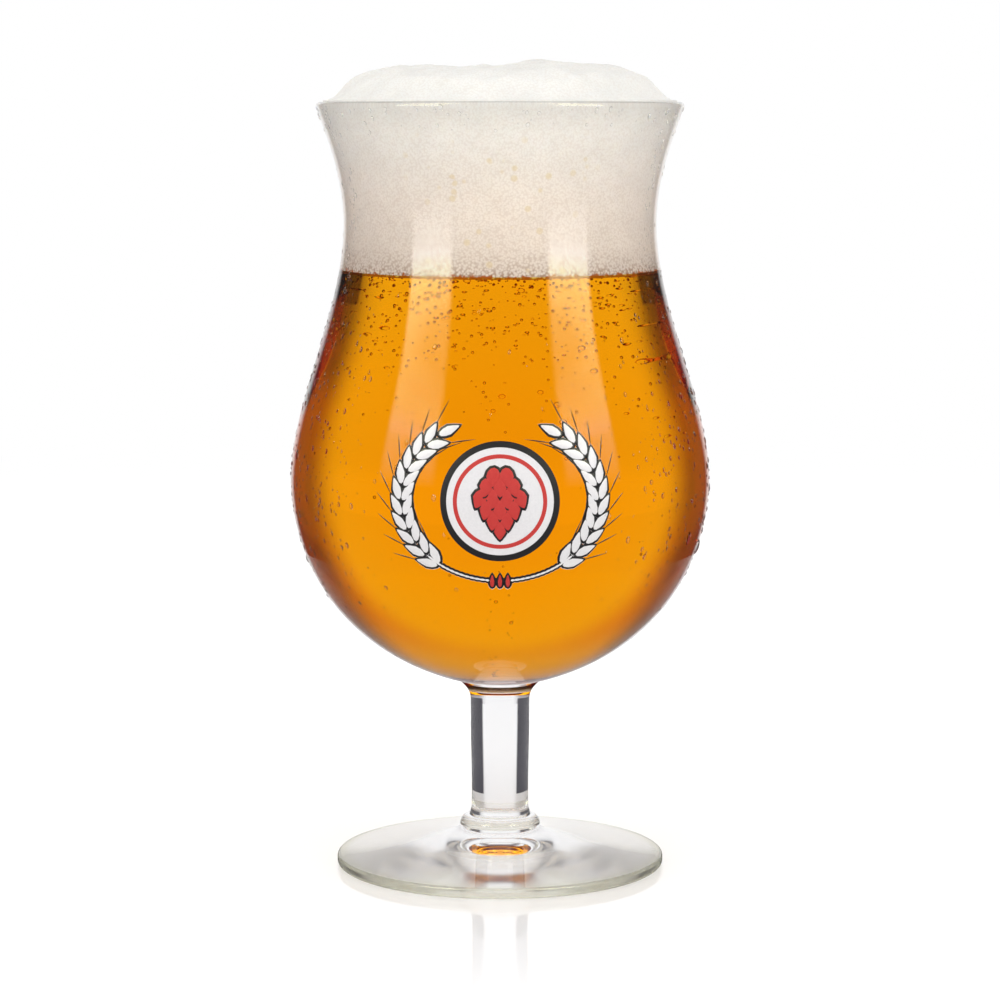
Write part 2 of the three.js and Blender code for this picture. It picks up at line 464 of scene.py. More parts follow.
def footOutside():
    edgeIn = foot["radius"] - foot["edgeRound"]
    ringIn = edgeIn - foot["ring"]
    boss = at(flangeRadius - foot["bossInset"], foot["height"])
    edgeTop = at(edgeIn, foot["edge"])
    edgeRound = foot["edgeRound"]
    dish = foot["dish"]
    edgeDraw = edgeTop + at(-foot["topDraw"], foot["topRise"])
    bossDraw = boss + at(foot["flare"], -foot["flareFall"])
    return joined(
        bend(at(0, dish), at(foot["dishFlat"], dish), at(ringIn - foot["dishToe"], 0), at(ringIn, 0), long),
        [at(ringIn, 0), at(edgeIn, 0)],
        arc(at(edgeIn, edgeRound), edgeRound, edgeRound, -90, 0, short),
        arc(at(edgeIn, foot["edge"] - edgeRound), edgeRound, edgeRound, 0, 90, short),
        bend(edgeTop, edgeDraw, bossDraw, boss, long),
    )


def glassProfile():
    belly, lipCentre, upper = upperWall(0)
    flare = bowl["rimFlare"]
    lipTurn = arc(lipCentre, lipRound, lipRound, -flare, 180 - flare, 2 * short)
    return joined(footOutside(), stemOutside(), bowlOutside(), lipTurn, list(reversed(cupInside(0))))


glassLook = {
    "clear": (0.98, 0.98, 0.992), "shadowed": (0.97, 0.97, 0.975), "ior": 1.5, "mirror": 0.45,
    "edgeTint": (0.76, 0.76, 0.64), "edge": (30.5, 33.2), "edgeTop": 4.0,
    "lipShade": (0.4, 0.4, 0.42), "lip": (0.3, 0.12),  # from and to, below the top
    "mist": (0.4, 0.115), "lowMist": (1.0, 0.24), "mistTint": (0.96, 0.96, 1.0),  # weight and roughness
    "wave": (70.0, 0.010), "underWave": (200.0, 0.004), "underRough": 0.13,  # scale and depth
    "underTop": 1.6, "underFrom": 11.5, "facesDown": -0.9,
    "floorReach": 20.0, "facesUp": 0.5, "lowBowl": 66.0,
    "dull": 0.24, "neckMirror": 0.32, "neck": (98.0, 121.0), "bellyMirror": 0.16, "belly": (84.0, 98.0),
}
# faint unevenness of pressed glass
ripple = noiseGroup("pressedRipple", "Wave", "Height", detail=1.0, roughness=0.4)


def newGlass(name, mirror, wave=glassLook["wave"], rough=0.0, mist=(0.0, 0.0)):
    material, tree, output = newMaterial(name)
    uneven = addNode(tree, "ShaderNodeGroup", {"Wave": wave[0]}, node_tree=ripple)
    bumpy = addNode(tree, "ShaderNodeBump", {"Strength": 1.0, "Distance": wave[1] * mm, "Height": uneven})
    glass = addNode(tree, "ShaderNodeBsdfPrincipled", {
        "Base Color": glassLook["clear"], "Roughness": rough, "IOR": glassLook["ior"],
        "Transmission Weight": 1.0, "Specular Tint": (mirror, mirror, mirror), "Normal": bumpy,
        "Sheen Weight": mist[0], "Sheen Roughness": mist[1], "Sheen Tint": glassLook["mistTint"],
    })
    lampsThrough(tree, output, glass, glassLook["shadowed"])
    return material, tree, glass


clearGlass, tree, glass = newGlass("clearGlass", glassLook["mirror"])
place, x, y, z = ownParts(tree)
out = vectorNode(tree, "LENGTH", vectorNode(tree, "MULTIPLY", place, (1, 1, 0)), result="Value")
onFoot = mathNode(tree, "LESS_THAN", z, glassLook["edgeTop"] * mm)
onEdge = times(tree, rampMm(tree, out, *glassLook["edge"]), onFoot)
tree.links.new(mixColour(tree, onEdge, glassLook["clear"], glassLook["edgeTint"]), glass.inputs["Base Color"])

wettedGlass = newGlass("wettedGlass", 0.0)[0]
underGlass = newGlass(
    "footUnderside", glassLook["mirror"], glassLook["underWave"], glassLook["underRough"])[0]
lowGlass = newGlass("lowMistedGlass", 0.0, mist=glassLook["lowMist"])[0]

mistedGlass, tree, glass = newGlass("mistedGlass", glassLook["dull"], mist=glassLook["mist"])
place, x, y, z = ownParts(tree)
# painted shade: a thin grey line in the glass along the top of the lip
lipShadeShare = rampMm(tree, z, *(lipTop - below for below in glassLook["lip"]))
tree.links.new(mixColour(tree, lipShadeShare, glassLook["clear"], glassLook["lipShade"]), glass.inputs["Base Color"])
onNeck = rampMm(tree, z, *glassLook["neck"], 0, glassLook["neckMirror"])
onBelly = rampMm(tree, z, *glassLook["belly"], glassLook["bellyMirror"], 0)
clearer = mathNode(tree, "ADD", mathNode(tree, "ADD", onNeck, onBelly), glassLook["dull"])
tree.links.new(clearer, glass.inputs["Specular Tint"])

goblet = newPiece(
    "goblet_glass", turnedMesh("goblet_glass", glassProfile(), fineness["sides"]),
    clearGlass, wettedGlass, underGlass, lowGlass, mistedGlass)
for face in goblet.data.polygons:
    out = Vector((face.center.x, face.center.y, 0))
    onFloor = out.length < glassLook["floorReach"] * mm and face.normal.z > glassLook["facesUp"]
    inside = face.normal.dot(out) < 0 or onFloor
    if inside and bowlSeat * mm < face.center.z < (lipTop - 2 * bowl["wall"]) * mm:
        face.material_index = 1  # the wall that the beer wets mirrors almost nothing
    elif face.normal.z < glassLook["facesDown"] and face.center.z < glassLook["underTop"] * mm:
        face.material_index = 2 if out.length > glassLook["underFrom"] * mm else 0
    elif face.center.z > bowlSeat * mm:  # mist clouds the outside, and dulls the low bowl
        face.material_index = 3 if face.center.z < glassLook["lowBowl"] * mm else 4
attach(goblet, "root")
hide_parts("bowl", "stem", "foot")
print("stage: glass,", len(goblet.data.polygons), "faces")


# beer

def splitAt(points, height):
    for i, point in enumerate(points):
        if point.y > height:
            low, high = points[i - 1], point
            cut = low.lerp(high, (height - low.y) / (high.y - low.y))
            return points[:i] + [cut], [cut] + points[i:]


beerLook = {
    "tint": (0.985, 0.63, 0.02), "edgeShade": (0.74, 0.235, 0.004), "edgeShadeSlant": (0.16, 0.225),
    "upperEdgeShade": (0.26, 0.13, 0.004), "upper": (95.0, 104.0),
    "cornerShade": (0.10, 0.045, 0.004), "cornerSlant": (0.19, 0.199), "cornerHeight": (115.6, 116.4),
    "pale": (0.93, 0.69, 0.05), "paleHeight": (42.0, 56.0), "paleShare": 0.85,
    "ior": 1.345, "absorb": (0.9944, 0.76, 0.0), "density": 35.5, "riseIntoFoam": 0.45,
}

beerMaterial, tree, output = newMaterial("amberBeer")
# painted shade: where the beer is seen at a slant, at its edges, its colour turns dark red-brown, darker in
# the upper part and darkest in the top corners
facing = addNode(tree, "ShaderNodeLayerWeight", {"Blend": 0.5}).outputs["Facing"]
place, x, y, z = ownParts(tree)
high = rampMm(tree, z, *beerLook["upper"])
edgeShadeColour = mixColour(tree, high, beerLook["edgeShade"], beerLook["upperEdgeShade"])
edgeShadedBeer = mixColour(tree, ramp(tree, facing, *beerLook["edgeShadeSlant"]), beerLook["tint"], edgeShadeColour)
low = rampMm(tree, z, *beerLook["paleHeight"], beerLook["paleShare"], 0)
paler = mixColour(tree, low, edgeShadedBeer, beerLook["pale"])
steep = ramp(tree, facing, *beerLook["cornerSlant"])
cornerShade = times(tree, steep, rampMm(tree, z, *beerLook["cornerHeight"]))
liquid = addNode(tree, "ShaderNodeBsdfPrincipled", {
    "Base Color": mixColour(tree, cornerShade, paler, beerLook["cornerShade"]), "Roughness": 0.0,
    "IOR": beerLook["ior"], "Transmission Weight": 1.0, "Specular Tint": (0, 0, 0),
})
lampsThrough(tree, output, liquid, (1, 1, 1))
soak = addNode(tree, "ShaderNodeVolumeAbsorption", {
    "Color": beerLook["absorb"], "Density": beerLook["density"]})
tree.links.new(soak.outputs["Volume"], output.inputs["Volume"])

beerTop = beerLevel + beerLook["riseIntoFoam"]
beerSide = splitAt(cupInside(-drink["beerIntoGlass"]), beerTop * mm)[0]
beerMesh = turnedMesh("beer_fill", beerSide + [at(0, beerTop)], fineness["sides"])
beer = newPiece("beer_fill", beerMesh, beerMaterial)
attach(beer, "root")
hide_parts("beer")
print("stage: beer,", len(beerMesh.polygons), "faces")


# bubbles in the beer: on the wall, along the level and in a rising thread

wallBubbles = {
    "Density": 300000.0, "Small": 0.12 * mm, "Large": 0.38 * mm, "Rarity": 1.3, "Stretch": 1.0,
    "Lowest": -1.0, "Flat": 1.0, "Sink": 0.35 * mm, "Sink share": 1.0,
    "Segments": 8, "Rings": 6, "Seed": 11,
}
levelBubbles = {**wallBubbles, "Density": 1200000.0, "Small": 0.14 * mm, "Large": 0.4 * mm, "Seed": 5}
threadBubbles = {
    **wallBubbles, "Density": 220000.0, "Small": 0.14 * mm, "Large": 0.42 * mm, "Rarity": 3.0,
    "Sink": 0.0, "Seed": 3,
}
thread = {"wide": 7.0, "topWide": 1.6, "foot": 44.0, "top": 74.0, "depth": -6.0}
fizz = {
    "from": (90, 112), "end": (120.4, 121.2), "thin": 0.35, "more": 0.65, "moreFrom": (100, 118),
    "low": 0.03, "lowFrom": (60, 75), "lowSides": (60, 90), "level": (120.2, 121.2), "sides": 96,
}  # heights in mm, directions from the front in degrees
# painted shade: the air bubbles' amber and brown tints darken them, the brown level bubbles most
bubbleLook = {
    "grain": 900.0, "shadowed": (0.8, 0.7, 0.5),
    "pale": ((0.92, 0.62, 0.25), (1.0, 0.88, 0.55)), "brownShade": ((0.3, 0.1, 0.02), (0.65, 0.28, 0.08)),
}


def bubbleMaterial(name, tints):
    return beadMaterial(name, bubbleLook["grain"], *tints, 1 / beerLook["ior"], bubbleLook["shadowed"])


def fizzOnWall(turn, height):
    upper = smooth(height, *fizz["from"]) * (1 - smooth(height, *fizz["end"]))
    lower = fizz["low"] * smooth(height, *fizz["lowFrom"]) * (1 - smooth(turn, *fizz["lowSides"]))
    return upper * (fizz["thin"] + fizz["more"] * smooth(height, *fizz["moreFrom"])) + lower


def fizzOnLevel(turn, height):
    return smooth(height, *fizz["level"])


def fizzInThread(turn, height):
    return 1.0


paleBubble = bubbleMaterial("beerBubble", bubbleLook["pale"])
brownBubble = bubbleMaterial("levelBubble", bubbleLook["brownShade"])
threadMesh = plainMesh("thread", [
    (across / 2 * mm, thread["depth"] * mm, height * mm) for across, height in (
        (-thread["wide"], thread["foot"]), (thread["wide"], thread["foot"]),
        (thread["topWide"], thread["top"]), (-thread["topWide"], thread["top"]))
], [(0, 1, 2, 3)])

for name, rule, sizes, material in (
    ("wall_bubbles", fizzOnWall, wallBubbles, paleBubble),
    ("level_bubbles", fizzOnLevel, levelBubbles, brownBubble),
    ("rising_bubbles", fizzInThread, threadBubbles, paleBubble),
):
    source = threadMesh if rule is fizzInThread else skinMesh(name, beerSide, fizz["sides"])
    bubbles = grown(name, shareOut(source, rule), sprinkle, {**sizes, "Material": material})
    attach(bubbles, "root")
    print("stage:", name, len(bubbles.data.polygons), "faces")


# foam

foam = {
    "rise": 7.1, "lipRise": 0.3, "apron": 2.2, "shoulderIn": 5.3, "shoulderRise": 4.1, "shoulderLean": 43.0,
    "shoulderDraw": 2.6, "topDraw": 22.0, "sharp": 60.0,
    "lumps": (
        (-15, 10, 1.2, 7), (178, 20, 0.9, 7), (8, 21, 1.2, 6),
        (95, 18, 0.8, 8), (235, 15, -0.7, 8), (300, 21, 0.7, 7),
    ),  # direction in degrees, distance out, height, spread
    "roughness": ((0.55, 5.0), (0.3, 2.0)),  # height and width of the froth's unevenness
    "hang": 0.3, "hangWave": 1.0, "hangFrom": 10.0, "underside": 0.01,
    # darker and browner low down, painted lighter near the rim where the rim and dome shade the foam, greyer
    # on the dome top
    "colours": (
        (122.0, (0.79, 0.69, 0.61)), (128.0, (0.895, 0.795, 0.71)), (137.0, (0.955, 0.86, 0.785)),
        (150.0, (0.99, 0.945, 0.9)), (157.0, (0.80, 0.79, 0.765)),
    ),  # height and colour
    "mottle": 160.0, "mottleFrom": (0.3, 0.7), "mottleTone": (0.96, 1.02),
    "cellLow": 0.5, "cellHigh": 0.42, "cellChange": (123.5, 129.0), "cellDepth": 0.03, "cellBump": 0.7,
    # painted shade in the gaps between the foam's cells, browned by beer near the level
    "gapShadeAndBeer": (0.34, 0.175, 0.09), "gapEdge": (0.35, 0.75),
    "frothFrom": (0.2, 0.7), "frothRough": (0.55, 0.8),
    "gapShares": ((122.0, 0.85), (124.0, 0.4), (128.0, 0.17), (157.0, 0.1)),  # height and strength of the painted gap shade
    # painted shade in the foam's larger holes, on the front
    "bigCell": 2.3, "bigColour": (0.80, 0.65, 0.40), "bigShare": 0.3, "bigStrength": 0.55,
    "bigEdge": (0.2, 0.36), "bigFront": (-30.0, -24.0), "bigTop": (152.0, 145.0),
    "soaked": (0.48, 0.13, 0.025), "soak": (-1.2, -0.8), "soakWave": 1100.0, "soakDepth": 3.0,
    "soakAlways": 0.2, "glow": 0.35, "glowReach": (6.0, 5.0, 4.0),
}


def foamProfile():
    over = splitAt(cupInside(-drink["foamIntoGlass"]), beerLevel * mm)[1]
    edge = over[-1]
    atLip = Vector((edge.x, (lipTop + foam["lipRise"]) * mm))
    shoulder = at(edge.x / mm - foam["shoulderIn"], lipTop + foam["shoulderRise"])
    lean = math.radians(foam["shoulderLean"])
    reach = Vector((-math.cos(lean), math.sin(lean))) * foam["shoulderDraw"] * mm
    top = at(0, lipTop + foam["rise"])
    return joined(
        [at(0, beerLevel)],
        over,
        [edge, atLip],
        bend(atLip, atLip - at(foam["apron"], 0), shoulder - reach, shoulder, 2 * short),
        bend(shoulder, shoulder + reach, top + at(foam["topDraw"], 0), top, long),
    )


def raiseLumps(mesh):
    for vertex in mesh.vertices:
        x, y, z = vertex.co / mm
        fade = smooth(z, lipTop + foam["lipRise"], lipTop + foam["shoulderRise"])
        lift = 0
        for turn, out, height, spread in foam["lumps"]:
            angle = math.radians(turn)
            away = math.hypot(x - out * math.cos(angle), y - out * math.sin(angle))
            lift += height * math.exp(-((away / spread) ** 2))
        for height, width in foam["roughness"]:
            lift += height * noise.noise(vertex.co / (width * mm))
        vertex.co.z += lift * fade * mm
        onUnderside = z < beerLevel + foam["underside"]
        if onUnderside and math.hypot(x, y) > foam["hangFrom"]:  # froth hangs unevenly into the beer
            vertex.co.z -= foam["hang"] * abs(noise.noise(vertex.co / (foam["hangWave"] * mm))) * mm


foamMaterial, tree, output = newMaterial("beerFoam")
place, x, y, z = ownParts(tree)
lowCells, highCells, bigCells = [
    addNode(tree, "ShaderNodeTexVoronoi", {"Vector": place, "Scale": 1 / (foam[word] * mm)}).outputs
    for word in ("cellLow", "cellHigh", "bigCell")]
upper = rampMm(tree, z, *foam["cellChange"])
cells = mixValue(tree, upper, lowCells["Distance"], highCells["Distance"])
# painted shade between the cells, strongest near the beer
gapShare = byHeight(tree, z, [(height, (depth, depth, depth)) for height, depth in foam["gapShares"]])
gapShadeAndBeerShare = times(tree, ramp(tree, cells, *foam["gapEdge"]), gapShare)
mottle = addNode(tree, "ShaderNodeTexNoise", {
    "Vector": place, "Scale": foam["mottle"], "Detail": 4.0, "Roughness": 0.6})
patchy = ramp(tree, mottle, *foam["mottleFrom"], *foam["mottleTone"])
grey = addNode(tree, "ShaderNodeCombineColor", {0: patchy, 1: patchy, 2: patchy})
# the colours by height hold painted light near the rim
even = mixColour(tree, 1.0, byHeight(tree, z, foam["colours"]), grey, "MULTIPLY")
creamy = mixColour(tree, gapShadeAndBeerShare, even, foam["gapShadeAndBeer"])
# painted shade: darker, browner spots in the larger holes on the front
pickOf = addNode(tree, "ShaderNodeSeparateColor", {0: bigCells["Color"]}).outputs["Red"]
chosen = mathNode(tree, "LESS_THAN", pickOf, foam["bigShare"])
bubble = times(tree, ramp(tree, bigCells["Distance"], *foam["bigEdge"], 1, 0), chosen)
front = rampMm(tree, y, *foam["bigFront"], 1, 0)
inFront = times(tree, front, rampMm(tree, z, *foam["bigTop"]))
spots = times(tree, times(tree, bubble, inFront), foam["bigStrength"])
speckled = mixColour(tree, spots, creamy, foam["bigColour"])
ragged = addNode(tree, "ShaderNodeTexNoise", {"Vector": place, "Scale": foam["soakWave"], "Detail": 2.0})
sunk = times(tree, ragged, -foam["soakDepth"] * mm)
unevenLevel = mathNode(tree, "ADD", z, sunk)
soaked = rampMm(tree, unevenLevel, *(beerLevel + over for over in foam["soak"]), 1, 0)
always = rampMm(tree, z, beerLevel, beerLevel + foam["soakAlways"], 1, 0)
wetted = mathNode(tree, "MAXIMUM", soaked, always)
height = mathNode(tree, "SUBTRACT", 1.0, cells)
bumpy = addNode(tree, "ShaderNodeBump", {
    "Strength": foam["cellBump"], "Distance": foam["cellDepth"] * mm, "Height": height})
froth = addNode(tree, "ShaderNodeBsdfPrincipled", {
    "Base Color": mixColour(tree, wetted, speckled, foam["soaked"]),
    "Roughness": ramp(tree, cells, *foam["frothFrom"], *foam["frothRough"]), "Normal": bumpy,
    "Subsurface Weight": foam["glow"], "Subsurface Radius": foam["glowReach"], "Subsurface Scale": mm,
})
surface(tree, output, froth)

foamMesh = turnedMesh("foam_crown", foamProfile(), fineness["sides"], foam["sharp"])
raiseLumps(foamMesh)
crown = newPiece("foam_crown", foamMesh, foamMaterial)
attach(crown, "root")
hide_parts("foam_head")
print("stage: foam,", len(foamMesh.polygons), "faces")


# dew on the outside of the bowl

fineDew = {
    "Density": 210000.0, "Small": 0.14 * mm, "Large": 0.52 * mm, "Rarity": 2.4, "Stretch": 1.5,
    "Lowest": 0.0, "Flat": 0.5, "Sink": 0.03 * mm, "Sink share": 0.0,
    "Segments": 7, "Rings": 5, "Seed": 21,
}
largeDew = {
    **fineDew, "Density": 4600.0, "Small": 0.5 * mm, "Large": 1.05 * mm, "Rarity": 2.5, "Stretch": 1.8,
    "Segments": 12, "Rings": 8, "Seed": 8,
}
wet = {
    "body": (52, 66), "bodyEnd": (108, 122), "front": 0.06, "side": 0.94, "sideFrom": (26, 62),
    "rim": 0.5, "rimFrom": (149, 151), "lip": 0.8, "lipFrom": (153.6, 154),
    "column": 1.8, "columnFrom": (60, 64), "columnTo": (70, 74),
    "neck": 0.25, "neckSide": (60, 85), "neckFrom": (112, 124),
    "back": (100, 130), "backDry": 0.7, "backLow": (70, 85),
    "large": (46, 60), "largeEnd": (100, 116), "largeSide": (42, 70),
    "largeBack": (90, 115), "largeBackDry": 0.95, "sides": 96,
}  # heights in mm, directions from the front in degrees
dewLook = {
    "grain": 400.0, "dark": (0.93, 0.94, 0.97), "light": (1, 1, 1), "ior": 1.33,
    "shadowed": (0.97, 0.97, 0.98),
}
dewMaterial = beadMaterial("dewWater", **dewLook)


def fineWet(turn, height):
    sideways = wet["front"] + wet["side"] * smooth(turn, *wet["sideFrom"])
    body = smooth(height, *wet["body"]) * (1 - smooth(height, *wet["bodyEnd"])) * sideways
    rim = wet["rim"] * smooth(height, *wet["rimFrom"]) + wet["lip"] * smooth(height, *wet["lipFrom"])
    columns = smooth(turn, *wet["columnFrom"]) * (1 - smooth(turn, *wet["columnTo"]))
    beside = wet["neck"] * smooth(turn, *wet["neckSide"]) + wet["column"] * columns
    neck = beside * smooth(height, *wet["neckFrom"])
    behind = smooth(turn, *wet["back"])
    low = 1 - smooth(height, *wet["backLow"])
    return (body + rim + neck) * (1 - wet["backDry"] * behind) * (1 - behind * low)


def largeWet(turn, height):
    body = smooth(height, *wet["large"]) * (1 - smooth(height, *wet["largeEnd"]))
    behind = wet["largeBackDry"] * smooth(turn, *wet["largeBack"])
    return body * smooth(turn, *wet["largeSide"]) * (1 - behind)


for name, rule, sizes in (("dew_fine", fineWet, fineDew), ("dew_large", largeWet, largeDew)):
    source = shareOut(skinMesh(name, bowlOutside(), wet["sides"]), rule)
    dew = grown(name, source, sprinkle, {**sizes, "Material": dewMaterial})
    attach(dew, "root")
    print("stage:", name, len(dew.data.polygons), "faces")


# printed emblem on the front: a roundel with a hop cone between two ears of barley

emblem = {
    "height": 80.0, "sunk": 0.04, "roundel": 10.4, "rim": 1.2, "redFrom": 8.3, "redTo": 9.1,
    "whiteLift": 0.03, "rimLift": 0.045, "redLift": 0.045, "roundSides": 96, "roundRow": 0.9, "hub": 0.3,
    "earAcross": 19.6, "earUp": 15.6, "stalkFrom": -86.0, "earFrom": -46.0, "earTo": 60.0, "pairs": 10,
    "grain": (1.0, 2.35), "grainLean": 26.0, "grainOut": 1.25, "awn": (0.13, 2.6),
    "thick": 0.13, "centreSunk": 0.06, "feeler": 0.2, "outline": 0.38, "overOutline": 0.035,
    "stalk": (0.32, 1.0), "stalkBits": 14, "tie": (0.55, 1.5), "tieStep": 1.5, "tieLift": 0.06,
    "hopRows": ((1, -5.4), (2, -3.6), (3, -1.6), (4, 0.6), (3, 2.8), (2, 4.7)), "hopStep": 2.6,
    "hopScale": (1.5, 2.1), "hopLean": 6.0, "hopBase": 0.09, "hopLift": 0.03,
    "pointed": 0.62, "segments": 12, "rings": 6,
    "inkGrain": 2500.0, "inkDark": 0.85, "inkFrom": (0.3, 0.7), "inkRough": (0.3, 0.45), "backGlow": 1.2,
}
wallOutside = bowlOutside()


def onWall(across, up, lift):
    # a point of the flat design, laid on the front of the bowl
    height = (emblem["height"] + up) * mm
    low, high = next(pair for pair in zip(wallOutside, wallOutside[1:]) if pair[1].y >= height)
    run = high - low
    out = Vector((run.y, -run.x)).normalized()
    radius = low.x + run.x * (height - low.y) / run.y
    turn = across * mm / radius
    far = radius + out.x * lift * mm
    return Vector((far * math.sin(turn), -far * math.cos(turn), height + out.y * lift * mm))


def roundPatch(name, inner, outer, lift):
    bm = bmesh.new()
    sides = emblem["roundSides"]
    rows = max(2, round((outer - inner) / emblem["roundRow"]))
    layers = []
    for depth in (lift, -emblem["sunk"]):
        rings = []
        for k in range(rows + 1):
            radius = max(inner + (outer - inner) * k / rows, emblem["hub"])
            ring = []
            for i in range(sides):
                turn = 2 * math.pi * i / sides
                ring.append(bm.verts.new(onWall(radius * math.cos(turn), radius * math.sin(turn), depth)))
            rings.append(ring)
        layers.append(rings)
    top, base = layers
    loops = top + base[::-1]
    if inner > 0:
        loops.append(top[0])
    else:
        bm.faces.new(top[0])
        bm.faces.new(base[0])
    for a, b in zip(loops, loops[1:]):
        for i in range(sides):
            k = (i + 1) % sides
            bm.faces.new((a[i], a[k], b[k], b[i]))
    bmesh.ops.recalc_face_normals(bm, faces=bm.faces)
    return meshOf(bm, name)


def grainTree():
    # flat grains, each laid by its own direction and size
    tree, entry, leave = newTree("grains", {
        "Segments": "Int", "Rings": "Int", "Pointed": "Float", "Material": "Material"})
    own = {}
    for word in ("face", "along", "extent"):
        own[word] = addNode(tree, "GeometryNodeInputNamedAttribute", {"Name": word}, data_type="FLOAT_VECTOR")
    ball, place = unitBall(tree, entry)
    ahead = times(tree, mathNode(tree, "MAXIMUM", place["Y"], 0.0), entry["Pointed"])
    slim = times(tree, place["X"], mathNode(tree, "SUBTRACT", 1.0, ahead))
    seed = addNode(tree, "GeometryNodeSetPosition", {
        "Geometry": ball, "Position": combine(tree, slim, place["Y"], place["Z"])})
    facing = addNode(tree, "FunctionNodeAlignRotationToVector", {"Vector": own["face"]}, axis="Z")
    lying = addNode(tree, "FunctionNodeAlignRotationToVector", {
        "Rotation": facing, "Vector": own["along"]}, axis="Y", pivot_axis="Z")
    points = addNode(tree, "GeometryNodeMeshToPoints", {"Mesh": entry["Geometry"]})
    grains = addNode(tree, "GeometryNodeInstanceOnPoints", {
        "Points": points, "Instance": seed, "Rotation": lying, "Scale": own["extent"]})
    endTree(tree, leave, grains, entry["Material"])
    return tree


printed = {"black": [], "white": [], "red": []}


def layGrain(colour, across, up, degrees, size, lift):
    angle = math.radians(degrees)
    depth = lift - emblem["centreSunk"]
    ahead = emblem["feeler"] * math.cos(angle)
    aside = emblem["feeler"] * math.sin(angle)
    centre = onWall(across, up, depth)
    along = onWall(across + ahead, up + aside, depth) - centre
    beside = onWall(across - aside, up + ahead, depth) - centre
    extent = Vector((*size, emblem["thick"])) * mm
    printed[colour].append((centre, along.cross(beside).normalized(), along.normalized(), extent))


def outlined(colour, across, up, degrees, size, lift):
    larger = [side + emblem["outline"] for side in size]
    layGrain("black", across, up, degrees, larger, lift)
    layGrain(colour, across, up, degrees, size, lift + emblem["overOutline"])


def layEar(side):
    def stand(low, high, share):
        angle = math.radians(low + (high - low) * share)
        across = emblem["earAcross"] * math.cos(angle)
        up = emblem["earUp"] * math.sin(angle)
        heading = math.atan2(emblem["earUp"] * math.cos(angle), -emblem["earAcross"] * math.sin(angle))
        return across, up, math.degrees(heading)

    def lay(way, colour, across, up, heading, size):
        way(colour, side * across, up, heading if side > 0 else 180 - heading, size, 0.0)

    stalkFrom, earFrom, earTo = emblem["stalkFrom"], emblem["earFrom"], emblem["earTo"]
    for i in range(emblem["stalkBits"]):
        lay(outlined, "white", *stand(stalkFrom, earFrom, i / (emblem["stalkBits"] - 1)), emblem["stalk"])
    for i in range(emblem["pairs"]):
        across, up, heading = stand(earFrom, earTo, i / emblem["pairs"])
        for hand in (-1, 1):
            lean = heading + hand * emblem["grainLean"]
            sideways = math.radians(heading + 90 * hand)
            u = across + emblem["grainOut"] * math.cos(sideways)
            v = up + emblem["grainOut"] * math.sin(sideways)
            lay(outlined, "white", u, v, lean, emblem["grain"])
            reach = emblem["grain"][1] + emblem["awn"][1]
            tip = math.radians(lean)
            lay(layGrain, "black", u + reach * math.cos(tip), v + reach * math.sin(tip), lean, emblem["awn"])
    lay(outlined, "white", *stand(earFrom, earTo, 1), emblem["grain"])


layEar(-1)
layEar(1)
for hand in (-1, 0, 1):  # tie round the stalks
    outlined("red", hand * emblem["tieStep"], -emblem["earUp"], 90.0, emblem["tie"], emblem["tieLift"])
for row, (count, up) in enumerate(emblem["hopRows"]):
    for k in range(count):
        across = (k - (count - 1) / 2) * emblem["hopStep"]
        lift = emblem["hopBase"] + row * emblem["hopLift"]
        outlined("red", across, up, -90.0 + across * emblem["hopLean"], emblem["hopScale"], lift)

printGrain = noiseGroup("printGrain", "Size", "Grain", detail=3.0, roughness=0.5)
enamels = {"black": (0.02, 0.019, 0.022), "white": (0.80, 0.78, 0.79), "red": (0.60, 0.035, 0.03)}
grains = grainTree()
rounds = {
    "black": (emblem["roundel"], emblem["roundel"] + emblem["rim"], emblem["rimLift"]),
    "white": (0.0, emblem["roundel"], emblem["whiteLift"]),
    "red": (emblem["redFrom"], emblem["redTo"], emblem["redLift"]),
}
for word, colour in enamels.items():
    enamel, tree, output = newMaterial(word + "Enamel")
    grain = addNode(tree, "ShaderNodeGroup", {"Size": emblem["inkGrain"]}, node_tree=printGrain)
    darker = [emblem["inkDark"] * part for part in colour]
    outward = vectorNode(tree, "MULTIPLY", ownPlace(tree), (1, 1, 0))
    normal = addNode(tree, "ShaderNodeNewGeometry", {}).outputs["Normal"]
    hidden = mathNode(tree, "LESS_THAN", vectorNode(tree, "DOT_PRODUCT", outward, normal, "Value"), 0.0)
    ink = addNode(tree, "ShaderNodeBsdfPrincipled", {
        "Base Color": mixColour(tree, grain, darker, colour),
        "Roughness": ramp(tree, grain, *emblem["inkFrom"], *emblem["inkRough"]),
        "Emission Color": mixColour(tree, hidden, (0, 0, 0), enamels["white"]),
        "Emission Strength": emblem["backGlow"],  # painted light: the back faces glow white, as if lit through the enamel
    })
    surface(tree, output, ink)
    spots = plainMesh("spots", [laid[0] for laid in printed[word]], [])
    for k, field in ((1, "face"), (2, "along"), (3, "extent")):
        values = spots.attributes.new(field, "FLOAT_VECTOR", "POINT")
        for item, laid in zip(values.data, printed[word]):
            item.vector = laid[k]
    piece = grown("emblem_" + word, spots, grains, {
        "Segments": emblem["segments"], "Rings": emblem["rings"], "Pointed": emblem["pointed"],
        "Material": enamel,
    })
    bm = bmesh.new()
    bm.from_mesh(piece.data)
    bm.from_mesh(roundPatch("round", *rounds[word]))
    bm.to_mesh(piece.data)
    bm.free()
    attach(piece, "root")
    print("stage: emblem,", word, len(piece.data.polygons), "faces")


# studio: white floor and surround, dark flags and bright strips round the glass, and three lamps

